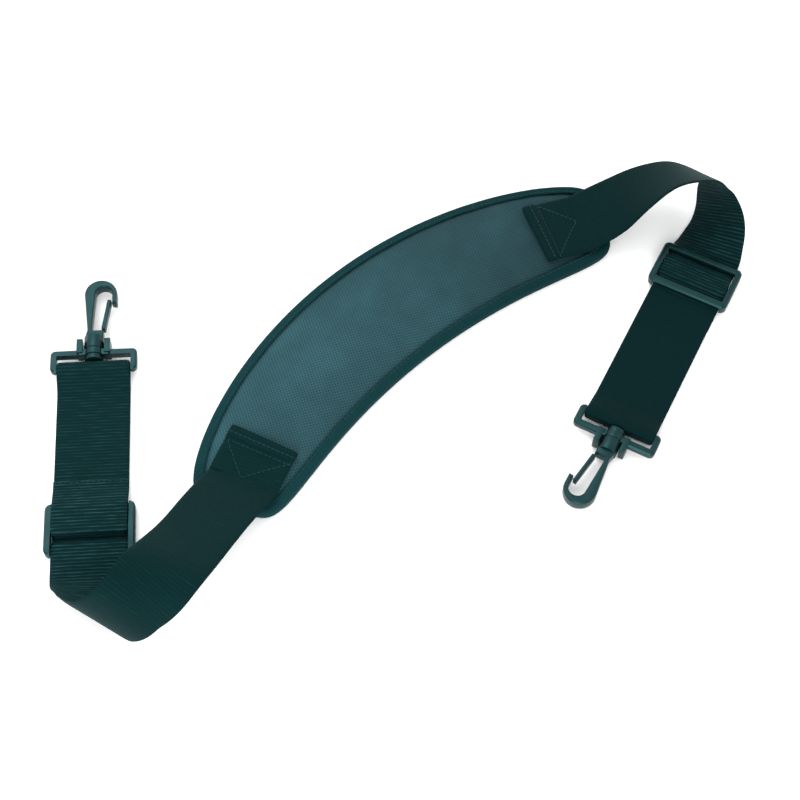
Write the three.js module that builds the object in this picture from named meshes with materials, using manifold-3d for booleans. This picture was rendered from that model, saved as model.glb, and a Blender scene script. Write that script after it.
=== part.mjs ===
// Padded shoulder strap: a crescent pad with bound edges, a webbing sewn to each end,
// and on each webbing a slider and a swivelling snap hook. It lies on a table as it was put down:
// each webbing rises off the pad, rolls over and comes back with its other face up.
// Millimetres, +Z up, the table is z = 0.

import * as THREE from 'three';
import { mergeVertices } from 'three/addons/utils/BufferGeometryUtils.js';
import Module from 'manifold-3d';

const wasm = await Module();
wasm.setup();

// Driving sizes: clearances
const GAP = 0.35;
const RUNNING_GAP = 0.3;

// Driving sizes: webbing
const WEBBING_WIDTH = 38;
const WEBBING_THICKNESS = 1.4;
const WEBBING_HEM = 4.5;
const HEM_RAMP = 2;
const WEBBING_SEWN = 25;
const WEBBING_TAIL = 27;

// Driving sizes: pad
const PAD_LENGTH = 281;
const PAD_WIDTH = 72;
const PAD_END_WIDTH = 56;
const PAD_RADIUS = 266;
const PAD_CORNER_POWER = 6.2;
const PAD_HEIGHT = 8.6;
const PAD_SHOULDER = 4;
const PAD_SLOPE = 5;
const PAD_SHOULDER_SHARE = 0.7;
const PAD_OUTLINE_STEPS = 72;

// Driving sizes: edge binding of the pad
const BINDING_WIDTH = 5;
const BINDING_HEIGHT = 7.2;
const BINDING_THICKNESS = 1.2;
const BINDING_ROUND = 1.6;

// Driving sizes: slider
const SLIDER_LENGTH = 28;
const SLIDER_RAIL = 3.3;
const SLIDER_RAIL_HEIGHT = 5.8;
const SLIDER_CORNER = 3.2;
const SLIDER_BEVEL = 0.8;
const CENTRE_BAR_RAISE = 0.1;
const SLOT_PLAY = 0.4;
const SLOT_RAMP = 3.8;
const LAYER_SHIFT = 0.9;
const TAIL_SETTLE = 9;
const FOLD_LEAD = 13;
const END_BAR_LENGTH = 4;
const END_BAR_HEIGHT = 3;
const CENTRE_BAR_LENGTH = 3.6;
const CENTRE_BAR_HEIGHT = 2.4;
const SIDE_CLEARANCE = 0.4;

// Driving sizes: hook frame
const HOOK_AXIS_HEIGHT = 5.5;
const LOOP_BAR_RADIUS = 2;
const FRAME_DEPTH = 13;
const FRAME_LEG = 3.3;
const FRAME_THICKNESS = 4.4;
const FRAME_BAR = 3.5;
const FRAME_CORNER = 2.6;
const BOSS_WIDTH = 17.5;
const BOSS_HEIGHT = 6.4;
const COLLAR_RADIUS = 5.2;
const EAR_WIDTH = 3;
const EAR_LENGTH = 5.2;
const EAR_HEIGHT = 8.6;

// Driving sizes: snap hook
const BARREL_RADIUS = 5.3;
const BARREL_LENGTH = 7.4;
const STEM_RADIUS = 3;
const HEAD_RADIUS = 4.8;
const HEAD_LENGTH = 2.6;
const HOOK_LENGTH = 35.2;
const HOOK_THICKNESS = 6.4;
const HOOK_BEVEL = 1.3;
const SPINE_WIDTH = 5.9;
const SPINE_OUTER = 5.6;
const SPINE_ROOT_WIDTH = 2.4;
const SPINE_ROOT_OUTER = 3.6;
const CROOK_RADIUS = 8.7;
const MOUTH_RADIUS = 4.4;
const NOSE_LENGTH = 6;
const NECK_LENGTH = 4;
const GATE_THICKNESS = 2.2;
const GATE_HEIGHT = 4.6;
const GATE_OVERLAP = 2.4;
const GATE_SEAT = 0.6;
const EAR_ROOT = 0.5;
const BOSS_CORNER = 1.4;
const BOSS_BEVEL = 0.6;
const NOSE_SLANT = 2.2;
const NOSE_DEPTH = 2.6;
const NECK_STEP = 0.4;

// Where the pad lies on the table, as shares of its length, and its turn in degrees
const PAD_PLACE = { x: -0.0416 * PAD_LENGTH, y: 0.1797 * PAD_LENGTH, turn: 43.8 };

// Each side: the pad's end (-1 or 1), how far the webbing laps onto it and lies off its middle line,
// where the slider lies, which way its hook points, whether the slider lies front up, how far the
// hook's loop bar is from the slider's centre bar, and how far aside and how high the loop goes.
const SIDES = [
  {
    name: 'left',
    end: -1,
    lap: 0.139 * PAD_LENGTH,
    across: -0.04 * WEBBING_WIDTH,
    x: -0.5445 * PAD_LENGTH,
    y: -0.2918 * PAD_LENGTH,
    heading: 95.3,
    frontUp: false,
    barReach: 2.42 * WEBBING_WIDTH,
    loopReach: 0.167 * PAD_LENGTH,
    loopHeight: 0.153 * PAD_LENGTH,
  },
  {
    name: 'right',
    end: 1,
    lap: 0.146 * PAD_LENGTH,
    across: -0.08 * WEBBING_WIDTH,
    x: 0.5644 * PAD_LENGTH,
    y: 0.2847 * PAD_LENGTH,
    heading: -115.2,
    frontUp: true,
    barReach: 2.716 * WEBBING_WIDTH,
    loopReach: 0.114 * PAD_LENGTH,
    loopHeight: 0.1174 * PAD_LENGTH,
  },
];

// The loop between the pad and the slider: along is a share of the straight way between the two,
// aside of loopReach and height of loopHeight; swing and tilt turn the webbing's crosswise
// direction, in degrees from where it starts and up from the table.
const LOOP_SECTIONS = {
  left: [
    { along: 0.22, aside: 0.28, height: 0.51, swing: -2, tilt: -2 },
    { along: 0.46, aside: 0.6, height: 0.78, swing: -14, tilt: -8 },
    { along: 0.69, aside: 0.88, height: 1.05, swing: -6, tilt: 9 },
    { along: 0.9, aside: 1.04, height: 1, swing: 5, tilt: 33 },
    { along: 1.02, aside: 1.05, height: 0.83, swing: -1, tilt: 41 },
    { along: 1.11, aside: 0.93, height: 0.59, swing: 2, tilt: 44 },
    { along: 1.13, aside: 0.68, height: 0.33, swing: 11, tilt: 43 },
    { along: 1.1, aside: 0.5, height: 0.24, swing: 26, tilt: 29 },
    { along: 1.06, aside: 0.25, height: 0.09, swing: 26, tilt: 7 },
  ],
  right: [
    { along: 0.21, aside: 0.34, height: 0.48, swing: -2, tilt: 2 },
    { along: 0.41, aside: 0.66, height: 0.79, swing: -14, tilt: 13 },
    { along: 0.64, aside: 0.93, height: 1.01, swing: -19, tilt: 32 },
    { along: 0.9, aside: 1.04, height: 0.94, swing: -19, tilt: 49 },
    { along: 0.95, aside: 0.95, height: 0.82, swing: 11, tilt: 45 },
    { along: 1.02, aside: 0.74, height: 0.55, swing: 27, tilt: 39 },
    { along: 1.04, aside: 0.49, height: 0.34, swing: 34, tilt: 29 },
    { along: 1.02, aside: 0.2, height: 0.18, swing: 40, tilt: 15 },
  ],
};
const LOOP_STEPS = 44;

// Colours
const MATERIALS = {
  padFace: new THREE.MeshStandardMaterial({ color: 0x33484b, roughness: 0.95 }),
  binding: new THREE.MeshStandardMaterial({ color: 0x14211f, roughness: 0.85 }),
  webbing: new THREE.MeshStandardMaterial({ color: 0x10201f, roughness: 0.8 }),
  plastic: new THREE.MeshStandardMaterial({ color: 0x12201f, roughness: 0.4 }),
};

const HALF_THICKNESS = WEBBING_THICKNESS / 2;
const LAYER_PITCH = WEBBING_THICKNESS + GAP;
const OPENING_HALF = WEBBING_WIDTH / 2 + SIDE_CLEARANCE;

const radians = (degrees) => THREE.MathUtils.degToRad(degrees);

// Solids: mesh to manifold and back, joins and cuts

function toSolid(geometry) {
  const plain = geometry.clone();
  plain.deleteAttribute('normal');
  plain.deleteAttribute('uv');
  const merged = mergeVertices(plain.index ? plain.toNonIndexed() : plain, 1e-4);
  return new wasm.Manifold(new wasm.Mesh({
    numProp: 3,
    vertProperties: new Float32Array(merged.attributes.position.array),
    triVerts: new Uint32Array(merged.index.array),
  }));
}

function toGeometry(solid) {
  const mesh = solid.getMesh();
  const geometry = new THREE.BufferGeometry();
  geometry.setAttribute('position', new THREE.BufferAttribute(new Float32Array(mesh.vertProperties), 3));
  geometry.setIndex(new THREE.BufferAttribute(new Uint32Array(mesh.triVerts), 1));
  geometry.computeVertexNormals();
  return geometry;
}

const join = (geometries) => geometries.map(toSolid).reduce((all, next) => all.add(next));
const cut = (solid, geometries) => geometries.map(toSolid)
  .reduce((left, tool) => left.subtract(tool), solid);

// A box from its lowest and highest corners
function boxBetween(low, high) {
  const size = high.map((value, i) => value - low[i]);
  return new THREE.BoxGeometry(...size).translate(...low.map((value, i) => value + size[i] / 2));
}

// A round bar along X or Y from a start point
function roundBar(radius, length, start, axis, sides = 16) {
  const bar = new THREE.CylinderGeometry(radius, radius, length, sides).translate(0, length / 2, 0);
  if (axis === 'x') bar.rotateZ(-Math.PI / 2);
  return bar.translate(...start);
}

// A closed body through a row of sections with equal point counts; a ring has no end caps
function loft(sections, { ring = false } = {}) {
  const count = sections[0].length;
  const positions = sections.flat().flatMap((point) => [point.x, point.y, point.z]);
  const index = [];
  const spans = ring ? sections.length : sections.length - 1;
  for (let i = 0; i < spans; i += 1) {
    const here = i * count;
    const there = ((i + 1) % sections.length) * count;
    for (let j = 0; j < count; j += 1) {
      const next = (j + 1) % count;
      index.push(here + j, here + next, there + next, here + j, there + next, there + j);
    }
  }
  if (!ring) {
    const last = (sections.length - 1) * count;
    for (let j = 1; j < count - 1; j += 1) {
      index.push(0, j + 1, j);
      index.push(last, last + j, last + j + 1);
    }
  }
  const geometry = new THREE.BufferGeometry();
  geometry.setAttribute('position', new THREE.Float32BufferAttribute(positions, 3));
  geometry.setIndex(index);
  geometry.computeVertexNormals();
  return geometry;
}

// Pad

// A point of the pad's own frame, from its place along the arc and how far out it is
function onPadArc(along, out) {
  const angle = along / PAD_RADIUS;
  const reach = PAD_RADIUS + out;
  return new THREE.Vector2(reach * Math.sin(angle), reach * Math.cos(angle) - PAD_RADIUS);
}

// The pad's outline moved inwards by an inset: half widths that narrow to the ends, round corners
function padOutline(inset = 0) {
  const points = [];
  for (let i = 0; i < PAD_OUTLINE_STEPS; i += 1) {
    const angle = (-2 * Math.PI * (i + 0.5)) / PAD_OUTLINE_STEPS;
    const along = (PAD_LENGTH / 2 - inset) * Math.cos(angle);
    const corner = (1 - Math.abs(Math.cos(angle)) ** PAD_CORNER_POWER) ** (1 / PAD_CORNER_POWER);
    const swell = Math.cos((Math.PI * along) / PAD_LENGTH);
    const half = (PAD_END_WIDTH + (PAD_WIDTH - PAD_END_WIDTH) * swell) / 2 - inset;
    points.push(onPadArc(along, half * corner * Math.sign(Math.sin(angle))));
  }
  return points;
}

const at = (point, z) => new THREE.Vector3(point.x, point.y, z);

function padGeometry() {
  const tongueLow = BINDING_THICKNESS + RUNNING_GAP;
  const tongueHigh = BINDING_HEIGHT - tongueLow;
  const seat = BINDING_WIDTH + RUNNING_GAP;
  const rings = [
    { inset: seat, z: 0 },
    { inset: seat, z: tongueLow },
    { inset: tongueLow, z: tongueLow },
    { inset: tongueLow, z: tongueHigh },
    { inset: seat, z: tongueHigh },
    { inset: seat, z: BINDING_HEIGHT - RUNNING_GAP },
    { inset: seat + PAD_SHOULDER, z: BINDING_HEIGHT + PAD_SHOULDER_SHARE * (PAD_HEIGHT - BINDING_HEIGHT) },
    { inset: seat + PAD_SHOULDER + PAD_SLOPE, z: PAD_HEIGHT },
  ];
  const sections = rings.map(({ inset, z }) => padOutline(inset).map((point) => at(point, z)));
  const count = PAD_OUTLINE_STEPS;
  const positions = sections.flat().flatMap((point) => point.toArray());
  const index = [];
  for (let i = 0; i < sections.length - 1; i += 1) {
    for (let j = 0; j < count; j += 1) {
      const next = (j + 1) % count;
      const [a, b, c, d] = [i * count + j, i * count + next, (i + 1) * count + next, (i + 1) * count + j];
      index.push(a, c, b, a, d, c);
    }
  }
  const caps = [
    { start: 0, up: false, ring: padOutline(rings[0].inset) },
    { start: (sections.length - 1) * count, up: true, ring: padOutline(rings.at(-1).inset) },
  ];
  for (const { start, up, ring } of caps) {
    for (const [a, b, c] of THREE.ShapeUtils.triangulateShape(ring, [])) {
      const turned = ring[b].clone().sub(ring[a]).cross(ring[c].clone().sub(ring[a]));
      const keep = (turned > 0) === up;
      index.push(start + a, start + (keep ? b : c), start + (keep ? c : b));
    }
  }
  const geometry = new THREE.BufferGeometry();
  geometry.setAttribute('position', new THREE.Float32BufferAttribute(positions, 3));
  geometry.setIndex(index);
  geometry.computeVertexNormals();
  return geometry;
}

// The binding: a tape folded over the pad's rim, a C in section
function bindingGeometry() {
  const t = BINDING_THICKNESS;
  const section = [
    { inset: BINDING_ROUND, z: 0 },
    { inset: 0, z: BINDING_ROUND },
    { inset: 0, z: BINDING_HEIGHT - BINDING_ROUND },
    { inset: BINDING_ROUND, z: BINDING_HEIGHT },
    { inset: BINDING_WIDTH, z: BINDING_HEIGHT },
    { inset: BINDING_WIDTH, z: BINDING_HEIGHT - t },
    { inset: t, z: BINDING_HEIGHT - t },
    { inset: t, z: t },
    { inset: BINDING_WIDTH, z: t },
    { inset: BINDING_WIDTH, z: 0 },
  ];
  const rings = section.map(({ inset, z }) => padOutline(inset).map((point) => at(point, z)));
  const sections = rings[0].map((_, i) => rings.map((ring) => ring[i]));
  return loft(sections, { ring: true });
}

// Levels of the webbing's layers at a slider that lies front up
const LEVEL_TAIL = HALF_THICKNESS;
const LEVEL_RETURN = LEVEL_TAIL + LAYER_PITCH;
const LEVEL_RUN = LEVEL_RETURN + LAYER_PITCH;
const END_BAR_LOW = LEVEL_RUN + HALF_THICKNESS + GAP;
const SLIDER_TOP = END_BAR_LOW + END_BAR_HEIGHT;
const CENTRE_BAR_LOW = SLIDER_TOP - SLIDER_RAIL_HEIGHT + CENTRE_BAR_RAISE;
const CENTRE_BAR_TOP = CENTRE_BAR_LOW + CENTRE_BAR_HEIGHT;
const WRAP = RUNNING_GAP + HALF_THICKNESS;
const LEVEL_RETURN_TOP = CENTRE_BAR_TOP + WRAP;
const LEVEL_RUN_TOP = LEVEL_RETURN_TOP + LAYER_PITCH;
const LEVEL_UNDER_BAR = CENTRE_BAR_LOW - WRAP;
const FLIP_HEIGHT = LEVEL_RUN_TOP + HALF_THICKNESS;
const SLOT_START = CENTRE_BAR_LENGTH / 2;
const SLOT_END = SLIDER_LENGTH / 2 - END_BAR_LENGTH;

// A height at the slider, turned over where the slider lies back up
const level = (side, z) => (side.frontUp ? z : FLIP_HEIGHT - z);

// The webbing's side view from the slider to the hook and back: u runs from the slider's centre bar
// to the hook, z is the height, and round is the bend's radius there.
function tailRoute(side) {
  const bar = side.barReach;
  const barLift = (LOOP_BAR_RADIUS + WRAP) * (side.frontUp ? 1 : -1);
  const runLow = side.frontUp ? LEVEL_RUN : HALF_THICKNESS;
  const returnLow = side.frontUp ? LEVEL_RETURN : HALF_THICKNESS + LAYER_PITCH;
  const tailLow = side.frontUp ? LEVEL_TAIL : HALF_THICKNESS + 2 * LAYER_PITCH;
  const outside = SLIDER_LENGTH / 2;
  const rampIn = SLOT_END - WRAP - SLOT_PLAY;
  const rampOut = rampIn - SLOT_RAMP;
  const settle = outside + TAIL_SETTLE;
  const nearBar = bar - FOLD_LEAD;
  return [
    { u: -outside - 2, z: level(side, LEVEL_RUN), round: 0 },
    { u: -rampIn, z: level(side, LEVEL_RUN), round: 1.6 },
    { u: -rampOut, z: level(side, LEVEL_RUN_TOP), round: 1.6 },
    { u: rampOut, z: level(side, LEVEL_RUN_TOP), round: 1.6 },
    { u: rampIn, z: level(side, LEVEL_RUN), round: 1.6 },
    { u: outside, z: level(side, LEVEL_RUN), round: 5 },
    { u: settle, z: runLow, round: 8 },
    { u: nearBar, z: runLow, round: 8 },
    { u: bar - 2, z: HOOK_AXIS_HEIGHT + barLift, round: 2 },
    { u: bar + LOOP_BAR_RADIUS + WRAP, z: HOOK_AXIS_HEIGHT + barLift, round: 2.6 },
    { u: bar + LOOP_BAR_RADIUS + WRAP, z: HOOK_AXIS_HEIGHT - barLift, round: 2.6 },
    { u: bar - 2, z: HOOK_AXIS_HEIGHT - barLift, round: 2 },
    { u: nearBar, z: returnLow, round: 8 },
    { u: settle, z: returnLow, round: 8 },
    { u: outside - 1, z: level(side, LEVEL_RETURN), round: 3 },
    { u: rampIn - LAYER_SHIFT, z: level(side, LEVEL_RETURN), round: 1.2 },
    { u: rampOut - LAYER_SHIFT, z: level(side, LEVEL_RETURN_TOP), round: 1.2 },
    { u: -SLOT_START - WRAP, z: level(side, LEVEL_RETURN_TOP), round: 1.2 },
    { u: -SLOT_START - WRAP, z: level(side, LEVEL_UNDER_BAR), round: 1.2 },
    { u: 2, z: level(side, LEVEL_UNDER_BAR), round: 2 },
    { u: SLOT_END, z: level(side, LEVEL_TAIL), round: 3 },
    { u: settle, z: tailLow, round: 6 },
    { u: Math.max(WEBBING_TAIL, settle + 2), z: tailLow, round: 0 },
  ];
}

// A row of straight runs with its corners turned into arcs
function roundRoute(route) {
  const points = [new THREE.Vector2(route[0].u, route[0].z)];
  for (let i = 1; i < route.length - 1; i += 1) {
    const corner = new THREE.Vector2(route[i].u, route[i].z);
    const back = new THREE.Vector2(route[i - 1].u, route[i - 1].z).sub(corner);
    const on = new THREE.Vector2(route[i + 1].u, route[i + 1].z).sub(corner);
    const share = back.dot(on) / (back.length() * on.length());
    const bend = Math.PI - Math.acos(THREE.MathUtils.clamp(share, -1, 1));
    if (bend < 1e-3) continue;
    const reach = Math.min(route[i].round * Math.tan(bend / 2), back.length() * 0.45, on.length() * 0.45);
    const enter = corner.clone().addScaledVector(back.normalize(), reach);
    const leave = corner.clone().addScaledVector(on.normalize(), reach);
    const curve = new THREE.QuadraticBezierCurve(enter, corner, leave);
    const steps = Math.max(2, Math.ceil(bend / 0.35));
    for (let k = 0; k <= steps; k += 1) points.push(curve.getPoint(k / steps));
  }
  points.push(new THREE.Vector2(route.at(-1).u, route.at(-1).z));
  return points;
}

const placeMatrix = ({ x, y }, degrees) => new THREE.Matrix4()
  .makeRotationZ(radians(degrees)).setPosition(x, y, 0);
const padMatrix = placeMatrix(PAD_PLACE, PAD_PLACE.turn);

// The webbing's start on the pad: hem turned under, then flat to where the stitching ends
function padStretch(side) {
  const seat = PAD_HEIGHT + RUNNING_GAP + HALF_THICKNESS;
  const raised = seat + LAYER_PITCH;
  const start = PAD_LENGTH / 2 - side.lap;
  const route = roundRoute([
    { u: start + WEBBING_HEM, z: seat, round: 0 },
    { u: start - HALF_THICKNESS, z: seat, round: 0.8 },
    { u: start - HALF_THICKNESS, z: raised, round: 0.8 },
    { u: start + WEBBING_HEM + GAP, z: raised, round: 1 },
    { u: start + WEBBING_HEM + GAP + HEM_RAMP, z: seat, round: 1 },
    { u: start + WEBBING_SEWN, z: seat, round: 0 },
  ]);
  return route.map(({ x: along, y: z }) => {
    const point = onPadArc(side.end * along, side.across);
    const angle = (side.end * along) / PAD_RADIUS;
    const cross = new THREE.Vector3(-Math.sin(angle), -Math.cos(angle), 0).multiplyScalar(side.end);
    return {
      point: at(point, z).applyMatrix4(padMatrix),
      cross: cross.transformDirection(padMatrix),
    };
  });
}

// The webbing from the slider to the hook and back, with its other face up
function tailStretch(side) {
  const matrix = placeMatrix(side, side.heading);
  const cross = new THREE.Vector3(0, 1, 0).transformDirection(matrix);
  return roundRoute(tailRoute(side)).map(({ x, y }) => ({
    point: new THREE.Vector3(x, 0, y).applyMatrix4(matrix),
    cross: cross.clone(),
  }));
}

// The loop between the two, through the side's table of sections
function loopStretch(side, from, to) {
  const way = to.point.clone().sub(from.point).setZ(0);
  const chord = way.length();
  const ahead = way.clone().normalize();
  const aside = new THREE.Vector3(-ahead.y, ahead.x, 0);
  const startAngle = Math.atan2(from.cross.y, from.cross.x);
  const rows = LOOP_SECTIONS[side.name].map((row) => ({
    point: from.point.clone().setZ(row.height * side.loopHeight)
      .addScaledVector(ahead, row.along * chord)
      .addScaledVector(aside, row.aside * side.loopReach),
    swing: radians(row.swing),
    tilt: radians(row.tilt),
  }));
  const endSwing = Math.atan2(to.cross.y, to.cross.x) - startAngle;
  const knots = [
    { point: from.point, swing: 0, tilt: 0 },
    ...rows,
    { point: to.point, swing: Math.atan2(Math.sin(endSwing), Math.cos(endSwing)), tilt: 0 },
  ];
  const path = new THREE.CatmullRomCurve3(knots.map((knot) => knot.point), false, 'centripetal');
  const blend = (key, share) => {
    const place = share * (knots.length - 1);
    const i = Math.min(Math.floor(place), knots.length - 2);
    const f = place - i;
    const value = (k) => knots[THREE.MathUtils.clamp(k, 0, knots.length - 1)][key];
    const slopeHere = (value(i + 1) - value(i - 1)) / 2;
    const slopeThere = (value(i + 2) - value(i)) / 2;
    return value(i) * (2 * f ** 3 - 3 * f ** 2 + 1) + slopeHere * (f ** 3 - 2 * f ** 2 + f)
      + value(i + 1) * (3 * f ** 2 - 2 * f ** 3) + slopeThere * (f ** 3 - f ** 2);
  };
  const stations = [];
  for (let i = 1; i < LOOP_STEPS; i += 1) {
    const share = i / LOOP_STEPS;
    const angle = startAngle + blend('swing', share);
    const tilt = blend('tilt', share);
    stations.push({
      point: path.getPoint(share),
      cross: new THREE.Vector3(Math.cos(angle), Math.sin(angle), Math.tan(tilt)).normalize(),
    });
  }
  return stations;
}

// A webbing as one strip: a thin rectangle carried along its stations
function webbingGeometry(side) {
  const onPad = padStretch(side);
  const tail = tailStretch(side);
  const stations = [...onPad, ...loopStretch(side, onPad.at(-1), tail[0]), ...tail];
  const spaced = stations.filter((station, i) => i === 0
    || station.point.distanceTo(stations[i - 1].point) > 0.02);
  const sections = spaced.map((station, i) => {
    const before = spaced[Math.max(i - 1, 0)].point;
    const after = spaced[Math.min(i + 1, spaced.length - 1)].point;
    const inward = station.point.clone().sub(before);
    const outward = after.clone().sub(station.point);
    const tangent = (i === 0 ? outward : inward).clone().normalize();
    if (i > 0 && i < spaced.length - 1) tangent.add(outward.normalize()).normalize();
    const cross = station.cross.clone().addScaledVector(tangent, -station.cross.dot(tangent)).normalize();
    const face = cross.clone().cross(tangent);
    const across = WEBBING_WIDTH / 2;
    return [[-1, 1], [1, 1], [1, -1], [-1, -1]].map(([c, f]) => station.point.clone()
      .addScaledVector(cross, c * across)
      .addScaledVector(face, f * HALF_THICKNESS));
  });
  return loft(sections);
}

// Slider

// A plate with round corners in plan and a small bevel, from its lowest to its highest face
function roundedPlate({ length, width, low, high, corner, bevel }) {
  const x = length / 2 - bevel;
  const y = width / 2 - bevel;
  const r = corner - bevel;
  const shape = new THREE.Shape();
  shape.moveTo(-x + r, -y);
  shape.lineTo(x - r, -y);
  shape.absarc(x - r, -y + r, r, -Math.PI / 2, 0);
  shape.lineTo(x, y - r);
  shape.absarc(x - r, y - r, r, 0, Math.PI / 2);
  shape.lineTo(-x + r, y);
  shape.absarc(-x + r, y - r, r, Math.PI / 2, Math.PI);
  shape.lineTo(-x, -y + r);
  shape.absarc(-x + r, -y + r, r, Math.PI, 1.5 * Math.PI);
  return new THREE.ExtrudeGeometry(shape, {
    depth: high - low - 2 * bevel, bevelEnabled: true, bevelThickness: bevel, bevelSize: bevel,
    bevelSegments: 1, curveSegments: 4,
  }).translate(0, 0, low + bevel);
}

function sliderGeometry() {
  const railLow = SLIDER_TOP - SLIDER_RAIL_HEIGHT;
  const halfLength = SLIDER_LENGTH / 2;
  const plate = roundedPlate({
    length: SLIDER_LENGTH, width: 2 * (OPENING_HALF + SLIDER_RAIL), low: railLow, high: SLIDER_TOP,
    corner: SLIDER_CORNER, bevel: SLIDER_BEVEL,
  });
  const openings = [
    boxBetween([-SLOT_END, -OPENING_HALF, railLow - 1], [SLOT_END, OPENING_HALF, SLIDER_TOP + 1]),
    boxBetween([-halfLength - 1, -OPENING_HALF, railLow - 1], [halfLength + 1, OPENING_HALF, END_BAR_LOW]),
  ];
  const centreBar = boxBetween(
    [-SLOT_START, -OPENING_HALF - 1, CENTRE_BAR_LOW],
    [SLOT_START, OPENING_HALF + 1, CENTRE_BAR_TOP],
  );
  return toGeometry(cut(toSolid(plate), openings).add(toSolid(centreBar)));
}

// Hook frame, in its own frame: the loop bar on the Y axis, the hook's axis along X

const FRAME_OUT = FRAME_DEPTH - LOOP_BAR_RADIUS;
const FRAME_IN = FRAME_OUT - FRAME_BAR;
const BARREL_START = FRAME_OUT + RUNNING_GAP;
const BARREL_END = BARREL_START + BARREL_LENGTH;

function frameGeometry() {
  const half = OPENING_HALF + FRAME_LEG;
  const plate = roundedPlate({
    length: FRAME_DEPTH, width: 2 * half, low: -FRAME_THICKNESS / 2, high: FRAME_THICKNESS / 2,
    corner: FRAME_CORNER, bevel: SLIDER_BEVEL,
  }).translate(FRAME_OUT - FRAME_DEPTH / 2, 0, 0);
  const window = boxBetween(
    [-FRAME_DEPTH, -OPENING_HALF, -FRAME_THICKNESS],
    [FRAME_IN, OPENING_HALF, FRAME_THICKNESS],
  );
  const boss = roundedPlate({
    length: FRAME_BAR, width: BOSS_WIDTH, low: -BOSS_HEIGHT / 2, high: BOSS_HEIGHT / 2,
    corner: BOSS_CORNER, bevel: BOSS_BEVEL,
  }).translate(FRAME_OUT - FRAME_BAR / 2, 0, 0);
  const collar = roundBar(COLLAR_RADIUS, FRAME_BAR, [FRAME_IN, 0, 0], 'x', 24);
  const ears = [-1, 1].map((sign) => {
    const middle = sign * (BOSS_WIDTH - EAR_WIDTH) / 2;
    return boxBetween(
      [FRAME_IN + EAR_ROOT, middle - EAR_WIDTH / 2, -EAR_HEIGHT / 2],
      [FRAME_OUT + EAR_LENGTH, middle + EAR_WIDTH / 2, EAR_HEIGHT / 2],
    );
  });
  const bar = roundBar(LOOP_BAR_RADIUS, 2 * OPENING_HALF + 2, [0, -OPENING_HALF - 1, 0], 'y');
  const bore = roundBar(STEM_RADIUS + RUNNING_GAP, FRAME_BAR + 2, [FRAME_IN - 1, 0, 0], 'x');
  const barrelSeat = roundBar(BARREL_RADIUS + RUNNING_GAP, EAR_LENGTH + 1, [FRAME_OUT, 0, 0], 'x', 24);
  const body = cut(toSolid(plate), [window]).add(join([boss, collar, bar, ...ears]));
  return toGeometry(cut(body, [bore, barrelSeat]));
}

// Snap hook, in the hook frame's own frame

const NECK_END = BARREL_END + NECK_LENGTH;
const HOOK_TIP = BARREL_END + HOOK_LENGTH;
const CROOK_X = HOOK_TIP - CROOK_RADIUS;
const CROOK_Y = SPINE_OUTER - CROOK_RADIUS;
const MOUTH_Y = SPINE_OUTER - SPINE_WIDTH - MOUTH_RADIUS;
const NOSE_END = CROOK_X - NOSE_LENGTH;
const NOSE_INNER = MOUTH_Y - MOUTH_RADIUS;
const GATE_ROOT = {
  x: NECK_END + GATE_SEAT + GATE_THICKNESS / 2,
  y: -BARREL_RADIUS + NECK_STEP,
};

function hookOutline() {
  const inner = SPINE_OUTER - SPINE_WIDTH;
  const rootInner = SPINE_ROOT_OUTER - SPINE_ROOT_WIDTH;
  const shape = new THREE.Shape();
  shape.moveTo(BARREL_END - 1, -BARREL_RADIUS + NECK_STEP);
  shape.lineTo(NECK_END - NECK_STEP, -BARREL_RADIUS + NECK_STEP);
  shape.lineTo(NECK_END - NECK_STEP, rootInner - 1);
  shape.quadraticCurveTo(NECK_END - NECK_STEP, rootInner, NECK_END + 1, rootInner);
  shape.lineTo(CROOK_X, inner);
  shape.absarc(CROOK_X, MOUTH_Y, MOUTH_RADIUS, Math.PI / 2, -Math.PI / 2, true);
  shape.lineTo(NOSE_END + NECK_STEP, NOSE_INNER);
  shape.lineTo(NOSE_END, NOSE_INNER - NOSE_DEPTH);
  shape.lineTo(NOSE_END + NOSE_SLANT, CROOK_Y - CROOK_RADIUS);
  shape.lineTo(CROOK_X, CROOK_Y - CROOK_RADIUS);
  shape.absarc(CROOK_X, CROOK_Y, CROOK_RADIUS, -Math.PI / 2, Math.PI / 2);
  shape.lineTo(NECK_END, SPINE_ROOT_OUTER);
  shape.lineTo(BARREL_END - 1, BARREL_RADIUS - NECK_STEP);
  return shape;
}

function snapHookGeometry() {
  const hook = new THREE.ExtrudeGeometry(hookOutline(), {
    depth: HOOK_THICKNESS - 2 * HOOK_BEVEL, bevelEnabled: true, bevelThickness: HOOK_BEVEL,
    bevelSize: HOOK_BEVEL / 2, bevelOffset: -HOOK_BEVEL / 2, bevelSegments: 2, curveSegments: 8,
  }).translate(0, 0, -HOOK_THICKNESS / 2 + HOOK_BEVEL);
  const headEnd = FRAME_IN - RUNNING_GAP;
  const pieces = [
    roundBar(BARREL_RADIUS, BARREL_LENGTH, [BARREL_START, 0, 0], 'x', 24),
    roundBar(STEM_RADIUS, BARREL_START - headEnd + 2, [headEnd - 1, 0, 0], 'x'),
    roundBar(HEAD_RADIUS, HEAD_LENGTH, [headEnd - HEAD_LENGTH, 0, 0], 'x'),
  ];
  return toGeometry(toSolid(hook).add(join(pieces)));
}

// The gate: a thin straight tongue from the neck to just inside the nose, in its root's own frame
const GATE_TIP = { x: NOSE_END + GATE_OVERLAP, y: NOSE_INNER + RUNNING_GAP + GATE_THICKNESS / 2 };
const GATE_ANGLE = Math.atan2(GATE_TIP.y - GATE_ROOT.y, GATE_TIP.x - GATE_ROOT.x);
const GATE_REACH = Math.hypot(GATE_TIP.x - GATE_ROOT.x, GATE_TIP.y - GATE_ROOT.y);

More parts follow.
